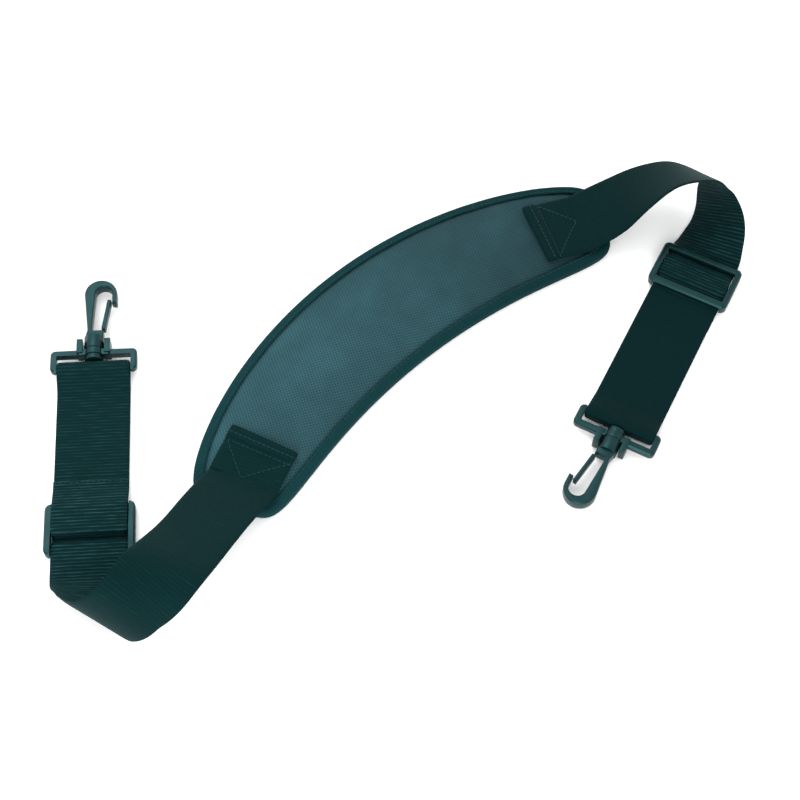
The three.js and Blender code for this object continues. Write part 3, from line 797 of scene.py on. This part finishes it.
@dataclass
class EdgeBinding(OnPlan):
    """The tape folded over the pad's rim, with its row of stitches.

    Args:
        width: how far the tape reaches inwards.
        height: from its lower to its upper face.
        thickness: the tape's thickness.
        steps: stations round the outline.
        stray: how far the tape's inner edge strays.
        flat_from: the inset from which it lies on the pad and strays.
    """

    width: float = 5.2 * MM
    height: float = 7.2 * MM
    thickness: float = 1.0 * MM
    steps: int = 420
    stray: float = 0.35 * MM
    flat_from: float = 3.5 * MM

    def profile(self) -> list[tuple[float, float]]:
        """The folded tape's section as insets and heights, round outside."""
        top, round_out, wall = self.height, 2.6 * MM, self.thickness
        outer = []
        for step in range(7):
            angle = math.pi / 2 * step / 6
            outer.append((round_out * (1 - math.sin(angle)), round_out * (1 - math.cos(angle))))
        lower = [(self.width, 0.0), (self.width * 0.75, 0.0)] + outer
        upper = [(inset, top - z) for inset, z in reversed(lower)]
        inner = [
            (self.width, top - wall), (3 * MM, top - wall), (1.5 * MM, top - 2.2 * MM),
            (1.5 * MM, 2.2 * MM), (3 * MM, wall), (self.width, wall),
        ]
        return lower + upper + inner

    def make(self, tape: Material, stitches: StitchTree) -> list[Object]:
        """Makes the binding and its stitches.

        Args:
            tape: the tape's material.
            stitches: the stitch rows' maker.

        Returns:
            The binding and its stitches, riding on the strap.
        """
        turns = 2 * np.pi * np.arange(self.steps) / self.steps
        waver = np.array([
            noise.noise(Vector((math.cos(turn) * 9, math.sin(turn) * 9, 3.0))) for turn in turns
        ])
        sections = []
        for inset, z in self.profile():
            inner = max(0.0, inset - self.flat_from) / (self.width - self.flat_from)
            along, out = self.plan.rim(inset, self.steps)
            heights = z + waver * 0.12 * MM * (z > self.height / 2)
            pull = waver * inner * self.stray
            sections.append(self.plan.place(along, out + pull * np.sign(out), heights))
        rings = np.array(sections).transpose(1, 0, 2) + np.array(self.shift)
        points, faces = skin(rings, closed_way=True)
        mesh = make_mesh("edge_binding", points, faces)
        outer = rings[:, 5]
        lengths = np.concatenate([[0], np.cumsum(np.linalg.norm(np.roll(outer, -1, 0) - outer, axis=1))])
        weave = mesh.uv_layers.new(name="weave")
        count = rings.shape[1]
        for polygon in mesh.polygons:
            rows = [mesh.loops[loop].vertex_index // count for loop in polygon.loop_indices]
            wraps = max(rows) - min(rows) > 1
            for loop in polygon.loop_indices:
                row, place = divmod(mesh.loops[loop].vertex_index, count)
                distance = lengths[-1] if wraps and row == 0 else lengths[row]
                weave.data[loop].uv = (place * 0.9 * MM, distance)
        ribbing = mesh.attributes.new("ribbing", "FLOAT", "FACE")
        ribbing.data.foreach_set("value", [0.8] * len(mesh.polygons))
        mesh.materials.append(tape)
        smooth(mesh, 50.0)
        binding = new_piece("edge_binding", mesh)
        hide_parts("pad_binding")
        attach(binding, "strap")
        row = self.plan.place(*self.plan.rim(self.width - 1.1 * MM, self.steps), self.height + 0.08 * MM)
        line = [Vector(point) + self.shift for point in row]
        sewn = stitches.sew("edge_stitches", [line], closed=True)
        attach(sewn, "strap")
        return [binding, sewn]


# The webbings


@dataclass(frozen=True)
class Tape:
    """The webbing's sizes, with those of its way through slider and hook frame.

    Args:
        width: across.
        thickness: through.
        hem: the end that is turned under on the pad.
        hem_ramp: the slope from the hem down to the pad.
        sewn: how far it is sewn to the pad.
        tail: from the slider's centre bar to the sewn end.
        gap: between two layers.
        running: round a bar.
    """

    width: float = 38 * MM
    thickness: float = 1.4 * MM
    hem: float = 4.5 * MM
    hem_ramp: float = 2 * MM
    sewn: float = 25 * MM
    tail: float = 27 * MM
    gap: float = 0.35 * MM
    running: float = 0.3 * MM

    @property
    def half(self) -> float:
        """Half the thickness."""
        return self.thickness / 2

    @property
    def pitch(self) -> float:
        """From one layer's middle to the next one's."""
        return self.thickness + self.gap


@dataclass(frozen=True)
class Hardware:
    """The sizes of slider and hook frame that the webbing's way depends on."""

    slider_length: float = 28 * MM
    rail_height: float = 5.8 * MM
    end_bar_length: float = 4 * MM
    end_bar_height: float = 3 * MM
    centre_bar_length: float = 3.6 * MM
    centre_bar_height: float = 2.4 * MM
    centre_bar_raise: float = 0.1 * MM
    slot_play: float = 0.4 * MM
    slot_ramp: float = 3.8 * MM
    layer_shift: float = 0.9 * MM
    tail_settle: float = 9 * MM
    fold_lead: float = 13 * MM
    axis_height: float = 5.5 * MM
    loop_bar_radius: float = 2 * MM


@dataclass(frozen=True)
class Side:
    """One end of the strap.

    Args:
        name: left or right.
        end: -1 or 1, the pad's end.
        lap: how far the webbing laps onto the pad.
        across: how far it lies off the pad's middle line.
        x: the slider's place, to the right.
        y: the slider's place, away.
        heading: which way the hook points, in degrees.
        lie: which way up the slider lies.
        bar_reach: from the slider's centre bar to the hook frame's loop bar.
        loop_reach: how far aside the loop goes.
        loop_height: how high it goes.
        taut_ribs: how much the ribs show between slider and hook.
        loop: rows of shares along, aside and up, then swing and tilt in degrees.
    """

    name: str
    end: int
    lap: float
    across: float
    x: float
    y: float
    heading: float
    lie: Lie
    bar_reach: float
    loop_reach: float
    loop_height: float
    taut_ribs: float
    loop: tuple[tuple[float, float, float, float, float], ...]

    def seat(self) -> Matrix:
        """Where the slider lies on the table, before the strap is centred."""
        return Matrix.Translation((self.x, self.y, 0)) @ Matrix.Rotation(math.radians(self.heading), 4, "Z")


LEFT = Side(
    name="left", end=-1, lap=39 * MM, across=-1.5 * MM, x=-153 * MM, y=-82 * MM, heading=95.3,
    lie=Lie.BACK_UP, bar_reach=92 * MM, loop_reach=47 * MM, loop_height=43 * MM, taut_ribs=0.5,
    loop=(
        (0.22, 0.28, 0.51, -2, -2),
        (0.46, 0.60, 0.78, -14, -8),
        (0.69, 0.88, 1.05, -6, 9),
        (0.90, 1.04, 1.00, 5, 33),
        (1.02, 1.05, 0.83, -1, 41),
        (1.11, 0.93, 0.59, 2, 44),
        (1.13, 0.68, 0.33, 11, 43),
        (1.10, 0.50, 0.24, 26, 29),
        (1.06, 0.25, 0.09, 26, 7),
    ),
)
RIGHT = Side(
    name="right", end=1, lap=41 * MM, across=-3 * MM, x=158.6 * MM, y=80 * MM, heading=-115.2,
    lie=Lie.FRONT_UP, bar_reach=103.2 * MM, loop_reach=32 * MM, loop_height=33 * MM, taut_ribs=0.15,
    loop=(
        (0.21, 0.34, 0.48, -2, 2),
        (0.41, 0.66, 0.79, -14, 13),
        (0.64, 0.93, 1.01, -19, 32),
        (0.90, 1.04, 0.94, -19, 49),
        (0.95, 0.95, 0.82, 11, 45),
        (1.02, 0.74, 0.55, 27, 39),
        (1.04, 0.49, 0.34, 34, 29),
        (1.02, 0.20, 0.18, 40, 15),
    ),
)


@dataclass
class Station:
    """A place on the webbing.

    Args:
        point: its middle.
        cross: the direction across the webbing.
        taut: whether it is pulled taut, between slider and hook.
    """

    point: Vector
    cross: Vector
    taut: bool = False


@dataclass
class WebbingRun(OnPlan):
    """A webbing from its sewn end on the pad, through the loop, to the hook and back.

    Args:
        side: which end of the strap it is.
        pad_top: the pad's height under the sewn end.
        tape: the webbing's sizes.
        hardware: the sizes of slider and hook frame.
        loop_steps: how many steps the loop has.
        softening: how many times the loop's turns are evened out.
    """

    side: Side
    pad_top: float = 8.6 * MM
    tape: Tape = Tape()
    hardware: Hardware = Hardware()
    loop_steps: int = 260
    softening: int = 60

    def levels(self) -> dict[str, float]:
        """The heights of the layers at a slider that lies front up."""
        tape, ware = self.tape, self.hardware
        tail = tape.half
        run = tail + 2 * tape.pitch
        slider_top = run + tape.half + tape.gap + ware.end_bar_height
        bar_low = slider_top - ware.rail_height + ware.centre_bar_raise
        wrap = tape.running + tape.half
        return_top = bar_low + ware.centre_bar_height + wrap
        return {
            "tail": tail, "return": tail + tape.pitch, "run": run, "wrap": wrap,
            "return_top": return_top, "run_top": return_top + tape.pitch, "under_bar": bar_low - wrap,
        }

    def route(self) -> list[tuple[float, float, float]]:
        """The side view from slider to hook and back, as distance, height and bend radius."""
        tape, ware, side, heights = self.tape, self.hardware, self.side, self.levels()
        front = side.lie is Lie.FRONT_UP
        wrap = heights["wrap"]
        flip = heights["run_top"] + tape.half

        def level(name: str) -> float:
            """A layer's height, turned over where the slider lies back up."""
            return heights[name] if front else flip - heights[name]

        bar, axis = side.bar_reach, ware.axis_height
        lift = (ware.loop_bar_radius + wrap) * (1 if front else -1)
        run_low = heights["run"] if front else tape.half
        return_low = heights["return"] if front else tape.half + tape.pitch
        tail_low = heights["tail"] if front else tape.half + 2 * tape.pitch
        outside = ware.slider_length / 2
        slot_end = outside - ware.end_bar_length
        slot_start = ware.centre_bar_length / 2
        ramp_in = slot_end - wrap - ware.slot_play
        ramp_out = ramp_in - ware.slot_ramp
        settle = outside + ware.tail_settle
        lead = bar - ware.fold_lead
        fold = bar + ware.loop_bar_radius + wrap
        shift = ware.layer_shift
        rows = [
            (-outside - 2 * MM, level("run"), 0),
            (-ramp_in, level("run"), 1.6),
            (-ramp_out, level("run_top"), 1.6),
            (ramp_out, level("run_top"), 1.6),
            (ramp_in, level("run"), 1.6),
            (outside, level("run"), 5),
            (settle, run_low, 8),
            (lead, run_low, 8),
            (bar - 2 * MM, axis + lift, 2),
            (fold, axis + lift, 2.6),
            (fold, axis - lift, 2.6),
            (bar - 2 * MM, axis - lift, 2),
            (lead, return_low, 8),
            (settle, return_low, 8),
            (outside - 1 * MM, level("return"), 3),
            (ramp_in - shift, level("return"), 1.2),
            (ramp_out - shift, level("return_top"), 1.2),
            (-slot_start - wrap, level("return_top"), 1.2),
            (-slot_start - wrap, level("under_bar"), 1.2),
            (2 * MM, level("under_bar"), 2),
            (slot_end, level("tail"), 3),
            (settle, tail_low, 6),
            (max(tape.tail, settle + 2 * MM), tail_low, 0),
        ]
        return [(distance, height, bend * MM) for distance, height, bend in rows]

    @staticmethod
    def rounded(route: list[tuple[float, float, float]], reach: float = 1.2 * MM) -> list[Vector]:
        """Rounds a route's corners and splits its straight runs.

        Args:
            route: distances, heights and bend radii.
            reach: the longest step.

        Returns:
            The points as flat vectors.
        """
        corners = [Vector((distance, height)) for distance, height, _ in route]
        points = [corners[0]]
        for before, here, after, (_, _, bend) in zip(corners, corners[1:], corners[2:], route[1:]):
            back, on = before - here, after - here
            angle = math.pi - back.angle(on)
            if angle < 1e-3:
                continue
            cut = min(bend * math.tan(angle / 2), back.length * 0.45, on.length * 0.45)
            enter, leave = here + back.normalized() * cut, here + on.normalized() * cut
            steps = max(3, math.ceil(angle / 0.16))
            for step in range(steps + 1):
                f = step / steps
                points.append(enter * (1 - f) ** 2 + here * 2 * f * (1 - f) + leave * f * f)
        points.append(corners[-1])
        split = [points[0]]
        for point in points[1:]:
            last = split[-1]
            parts = max(1, math.ceil((point - last).length / reach))
            split += [last.lerp(point, part / parts) for part in range(1, parts + 1)]
        return split

    def on_pad(self, along: float, aside: float, height: float) -> Vector:
        """A point over the pad from its distance past the webbing's end and off its middle line."""
        far = self.plan.length / 2 - self.side.lap + along
        place = self.plan.place(np.array(self.side.end * far), np.array(self.side.across + aside), height)
        return Vector(place)

    def pad_stretch(self) -> list[Station]:
        """The sewn end: the hem turned under, then flat to where the stitching ends."""
        tape = self.tape
        seat = self.pad_top + tape.running + tape.half
        raised = seat + tape.pitch
        flat = self.rounded([
            (tape.hem, seat, 0),
            (-tape.half, seat, 0.8 * MM),
            (-tape.half, raised, 0.8 * MM),
            (tape.hem + tape.gap, raised, 1 * MM),
            (tape.hem + tape.gap + tape.hem_ramp, seat, 1 * MM),
            (tape.sewn, seat, 0),
        ])
        stations = []
        for spot in flat:
            point = self.on_pad(spot.x, 0.0, spot.y)
            cross = (self.on_pad(spot.x, -1 * MM, spot.y) - point).normalized() * self.side.end
            stations.append(Station(point, cross))
        return stations

    def tail_stretch(self) -> list[Station]:
        """From the slider to the hook and back, with the other face up."""
        matrix = self.side.seat()
        cross = matrix.to_3x3() @ Vector((0, 1, 0))
        outside = self.hardware.slider_length / 2
        return [
            Station(matrix @ Vector((spot.x, 0, spot.y)), cross.copy(), spot.x > outside)
            for spot in self.rounded(self.route())
        ]

    def loop_stretch(self, start: Station, end: Station) -> list[Station]:
        """The loop between the two, through the side's rows.

        Args:
            start: the last station on the pad.
            end: the first station at the slider.

        Returns:
            The stations between them.
        """
        way = end.point - start.point
        way.z = 0
        ahead = way.normalized()
        aside = Vector((-ahead.y, ahead.x, 0))
        first = math.atan2(start.cross.y, start.cross.x)
        last = math.atan2(end.cross.y, end.cross.x) - first
        knots = [(start.point, 0.0, 0.0)]
        for along, off, up, swing, tilt in self.side.loop:
            point = start.point + ahead * (along * way.length) + aside * (off * self.side.loop_reach)
            point.z = up * self.side.loop_height
            knots.append((point, math.radians(swing), math.radians(tilt)))
        knots.append((end.point, math.atan2(math.sin(last), math.cos(last)), 0.0))
        values = np.array([[*point, swing, tilt] for point, swing, tilt in knots])
        shares = np.linspace(0, 1, self.loop_steps + 1) * (len(knots) - 1)
        spots = []
        for share in shares:
            place = min(int(share), len(knots) - 2)
            f = share - place
            row = [values[min(max(place + step, 0), len(knots) - 1)] for step in (-1, 0, 1, 2)]
            here, there = (row[2] - row[0]) / 2, (row[3] - row[1]) / 2
            spot = row[1] * (2 * f ** 3 - 3 * f ** 2 + 1) + here * (f ** 3 - 2 * f ** 2 + f)
            spot = spot + row[2] * (3 * f ** 2 - 2 * f ** 3) + there * (f ** 3 - f ** 2)
            angle, tilt = first + spot[3], spot[4]
            cross = Vector((math.cos(angle), math.sin(angle), math.tan(tilt))).normalized()
            spots.append([*spot[:3], *cross])
        spots = np.array(spots)
        for _ in range(self.softening):
            spots[1:-1] = (spots[:-2] + 2 * spots[1:-1] + spots[2:]) / 4
        return [Station(Vector(spot[:3]), Vector(spot[3:]).normalized()) for spot in spots[1:-1]]

    def stations(self) -> list[Station]:
        """All stations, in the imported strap's place, none closer than a hair to the next."""
        on_pad, tail = self.pad_stretch(), self.tail_stretch()
        every = on_pad + self.loop_stretch(on_pad[-1], tail[0]) + tail
        kept = [every[0]]
        for station in every[1:]:
            if (station.point - kept[-1].point).length > 0.05 * MM:
                kept.append(station)
        return [Station(station.point + self.shift, station.cross, station.taut) for station in kept]

    def section(self) -> list[tuple[float, float]]:
        """The webbing's section as shares of the half width and half thickness, with soft selvages."""
        steps, rounded, even, selvage_power = 24, 0.55, 0.45, 18
        top = []
        for step in range(steps + 1):
            across = rounded * -math.cos(math.pi * step / steps) + even * (2 * step / steps - 1)
            top.append((across, (1 - abs(across) ** selvage_power) ** 0.5))
        return top + [(across, -rise) for across, rise in reversed(top[1:-1])]

    def strip(self) -> Mesh:
        """The webbing's mesh with its weave map and which face has the ribs."""
        stations = self.stations()
        section = self.section()
        rings, lengths, faces_up = [], [0.0], []
        for place, station in enumerate(stations):
            before = stations[max(place - 1, 0)].point
            after = stations[min(place + 1, len(stations) - 1)].point
            inward, outward = station.point - before, after - station.point
            tangent = (inward.normalized() + outward.normalized()).normalized()
            cross = (station.cross - tangent * station.cross.dot(tangent)).normalized()
            face = cross.cross(tangent)
            faces_up.append(face.z)
            if place:
                lengths.append(lengths[-1] + inward.length)
            rings.append([
                station.point + cross * (across * self.tape.width / 2) + face * (rise * self.tape.half)
                for across, rise in section
            ])
        points, faces = skin(np.array(rings), closed_way=False)
        mesh = make_mesh(f"webbing_strip_{self.side.name}", points, faces)
        count = len(section)
        hem_end = next(place for place, length in enumerate(lengths) if length > self.tape.sewn)
        smooth_is_upper = faces_up[hem_end] > 0
        weave = mesh.uv_layers.new(name="weave")
        ribbing = mesh.attributes.new("ribbing", "FLOAT", "FACE")
        values = []
        for polygon in mesh.polygons:
            places = []
            taut = True
            for loop in polygon.loop_indices:
                row, place = divmod(mesh.loops[loop].vertex_index, count)
                weave.data[loop].uv = (section[place][0] * self.tape.width / 2, lengths[row])
                places.append(section[place][1])
                taut = taut and stations[row].taut and lengths[-1] - lengths[row] > self.tape.tail
            upper = sum(places) > 0
            face = Face.SMOOTH if upper == smooth_is_upper else Face.RIBBED
            values.append(self.side.taut_ribs if taut else face.value)
        ribbing.data.foreach_set("value", values)
        return mesh

    def seams(self) -> list[list[Vector]]:
        """The stitch lines on the sewn end: a row at the hem and a V that points down the strap."""
        top = self.pad_top + self.tape.running + self.tape.thickness + 0.06 * MM
        raised = top + self.tape.pitch
        reach = self.tape.width / 2 - 1.6 * MM
        steps = 16

        def line(points: list[tuple[float, float, float]]) -> list[Vector]:
            """Splits a line over the pad into short steps."""
            spots = [
                self.on_pad(*(start + (stop - start) * step / steps for start, stop in zip(here, there)))
                for here, there in zip(points, points[1:]) for step in range(steps)
            ]
            return [spot + self.shift for spot in (*spots, self.on_pad(*points[-1]))]

        hem = self.tape.hem - 1.4 * MM
        base = self.tape.hem + self.tape.hem_ramp + 0.5 * MM
        point = self.tape.sewn - 1 * MM
        seams = [
            line([(hem, -reach, raised), (hem, reach, raised)]),
            line([(base, -reach, top), (base, reach, top), (point, 1.5 * MM, top), (base, -reach, top)]),
        ]
        if self.side.lie is Lie.BACK_UP:
            seams.append(self.tail_seam())
        return seams

    def tail_seam(self) -> list[Vector]:
        """The row of stitches across the tail's end, which lies on top behind a slider that lies back up."""
        tape, steps = self.tape, 39
        matrix = self.side.seat()
        height = tape.thickness + 2 * tape.pitch + 0.1 * MM
        spots = []
        for step in range(steps + 1):
            aside = (step / steps - 0.5) * (tape.width - 2 * MM)
            waver = noise.noise(Vector((aside * 160, 4.0, 0.0))) * 0.5 * MM
            spots.append(matrix @ Vector((tape.tail - 1.2 * MM + waver, aside, height)) + self.shift)
        return spots

    def make(self, webbing: Material, stitches: StitchTree) -> list[Object]:
        """Makes the webbing and its seams.

        Args:
            webbing: the webbing's material.
            stitches: the stitch rows' maker.

        Returns:
            The pieces, riding on the strap.
        """
        mesh = self.strip()
        mesh.materials.append(webbing)
        smooth(mesh, 60.0)
        strip = new_piece(f"webbing_strip_{self.side.name}", mesh)
        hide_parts(f"webbing_{self.side.name}")
        sewn = stitches.sew(f"lap_stitches_{self.side.name}", self.seams())
        for piece in (strip, sewn):
            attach(piece, "strap")
        return [strip, sewn]


# The moulded parts


@dataclass
class Moulding:
    """A moulded plastic part: its CAD solid with the edges of a real moulding.

    Args:
        node: the CAD node.
        body: the body it rides on.
        edge: the radius of its edges.
        bevel_angle: the least angle of an edge that is rounded, in degrees.
    """

    node: str
    body: str
    edge: float = 0.45 * MM
    bevel_angle: float = 32

    def make(self, plastic: Material) -> Object:
        """Makes the part from a merged copy of its solid.

        Args:
            plastic: its material.

        Returns:
            The part, riding on its body.
        """
        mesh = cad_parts[self.node].data.copy()
        shape = bmesh.new()
        shape.from_mesh(mesh)
        bmesh.ops.remove_doubles(shape, verts=shape.verts, dist=1e-6)
        bmesh.ops.dissolve_limit(
            shape, angle_limit=math.radians(1.5), verts=shape.verts, edges=shape.edges, delimit=set()
        )
        shape.to_mesh(mesh)
        shape.free()
        mesh.materials.clear()
        mesh.materials.append(plastic)
        part = new_piece(f"{self.node}_moulding", mesh)
        part.data.polygons.foreach_set("material_index", [0] * len(part.data.polygons))
        bevel = part.modifiers.new("edges", "BEVEL")
        bevel.width = self.edge
        bevel.segments = 3
        bevel.limit_method = "ANGLE"
        bevel.angle_limit = math.radians(self.bevel_angle)
        bevel.use_clamp_overlap = True
        part = bake(part)
        smooth(part.data, 40.0)
        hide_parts(self.node)
        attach(part, self.body)
        return part


# The studio


@dataclass(frozen=True)
class Studio:
    """The floor, the lights and the camera.

    Args:
        shift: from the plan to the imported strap.
        distance: from the camera to the middle of the picture on the table.
        elevation: the camera's angle above the table, in degrees.
        roll: the camera's turn about its view, in degrees.
        focal_pixels: the focal length in the photograph's pixels.
        frame_pixels: the photograph's width.
    """

    shift: Vector
    distance: float = 0.9
    elevation: float = 60.4
    roll: float = 1.88
    focal_pixels: float = 1712.0
    frame_pixels: float = 800.0

    def camera(self) -> None:
        """Sets the camera at the photograph's angle."""
        lens = bpy.data.cameras.new("view")
        lens.sensor_width = 36.0
        lens.lens = self.focal_pixels / self.frame_pixels * lens.sensor_width
        lens.clip_start, lens.clip_end = 0.01, 50.0
        angle = math.radians(self.elevation)
        back = Vector((0, -math.cos(angle), math.sin(angle)))
        up = Vector((0, math.sin(angle), math.cos(angle)))
        axes = Matrix((Vector((1, 0, 0)), up, back)).transposed()
        turned = axes @ Matrix.Rotation(math.radians(self.roll), 3, "Z")
        eye = bpy.data.objects.new("view", lens)
        eye.matrix_world = Matrix.Translation(self.shift + back * self.distance) @ turned.to_4x4()
        bpy.context.scene.collection.objects.link(eye)
        bpy.context.scene.camera = eye

    def floor(self, paint: Material) -> None:
        """Lays the floor."""
        reach = 6.0
        points = np.array([(-reach, -reach, 0), (reach, -reach, 0), (reach, reach, 0), (-reach, reach, 0)])
        mesh = bpy.data.meshes.new("floor")
        mesh.from_pydata([tuple(point) for point in points], [], [(0, 1, 2, 3)])
        mesh.materials.append(paint)
        new_piece("floor", mesh)

    def lamp(self, name: str, place: tuple[float, float, float], width: float, power: float) -> None:
        """Hangs a soft square lamp that looks at the strap.

        Args:
            name: the lamp's name.
            place: where it hangs.
            width: its width.
            power: its power in watts.
        """
        light = bpy.data.lights.new(name, "AREA")
        light.size, light.energy = width, power
        lamp = bpy.data.objects.new(name, light)
        lamp.location = place
        lamp.rotation_euler = Vector(place).to_track_quat("Z", "Y").to_euler()
        bpy.context.scene.collection.objects.link(lamp)

    def light(self) -> None:
        """Lights the scene: a large soft lamp above, a weaker one low in front, and a bright room."""
        self.lamp("key", (-0.5, 0.7, 1.5), width=1.2, power=15.0)
        self.lamp("fill", (-0.2, -1.5, 0.8), width=1.0, power=22.0)
        world = bpy.data.worlds.new("room")
        world.use_nodes = True
        room = world.node_tree.nodes["Background"]
        room.inputs["Color"].default_value = (1.0, 1.0, 1.0, 1.0)
        room.inputs["Strength"].default_value = 1.45
        bpy.context.scene.world = world
        bpy.context.scene.view_settings.view_transform = "Standard"


# The whole strap


@dataclass(frozen=True)
class Finishes:
    """All finishes of the strap."""

    # Pad, binding and webbing are painted darker towards the pad's right end, as painted shade.
    pad: GridCloth = GridCloth("pad_cloth", (0.0185, 0.059, 0.07), 0.9, fade=0.44, turn=math.radians(-20))
    binding: RibbedWebbing = RibbedWebbing(
        "binding_tape", (0.004, 0.023, 0.026), 0.8, fade=0.6, rib_pitch=0.9 * MM, rib_depth=0.1 * MM,
        # The painted highlight colour of the binding's rib crowns.
        crown_highlight=(0.008, 0.034, 0.038),
    )
    webbing: RibbedWebbing = RibbedWebbing("webbing", (0.0014, 0.0088, 0.0093), 0.7, fade=0.66)
    plastic: MouldedPlastic = MouldedPlastic("moulded_plastic", (0.0012, 0.0068, 0.0076), 0.34)
    thread: Thread = Thread("thread", (0.007, 0.031, 0.034), 0.7)
    floor: PaleFloor = PaleFloor("floor_paint", (0.93, 0.93, 0.93), 0.85)


def main() -> None:
    """Builds the strap and its studio."""
    logging.basicConfig(level=logging.INFO, format="%(name)s: %(message)s")
    finishes = Finishes()
    plan = Crescent()
    shift = plan.centring()
    studio = Studio(shift)
    studio.camera()
    studio.floor(finishes.floor.make())
    studio.light()
    stitches = StitchTree(finishes.thread.make())
    webbing = finishes.webbing.make()
    runs = [WebbingRun(plan, shift, side) for side in (LEFT, RIGHT)]
    pieces = [Pad(plan, shift).make(finishes.pad.make(), runs)]
    pieces += EdgeBinding(plan, shift).make(finishes.binding.make(), stitches)
    for run in runs:
        pieces += run.make(webbing, stitches)
    plastic = finishes.plastic.make()
    for side in (LEFT, RIGHT):
        for node, body in (
            (f"slider_{side.name}", "strap"), (f"hook_frame_{side.name}", "strap"),
            (f"snap_hook_{side.name}", f"hook_{side.name}"), (f"hook_gate_{side.name}", f"gate_{side.name}"),
        ):
            pieces.append(Moulding(node, body).make(plastic))
    for piece in pieces:
        LOG.info("%s: %d faces", piece.name, len(piece.data.polygons))


if __name__ == "__main__":
    main()
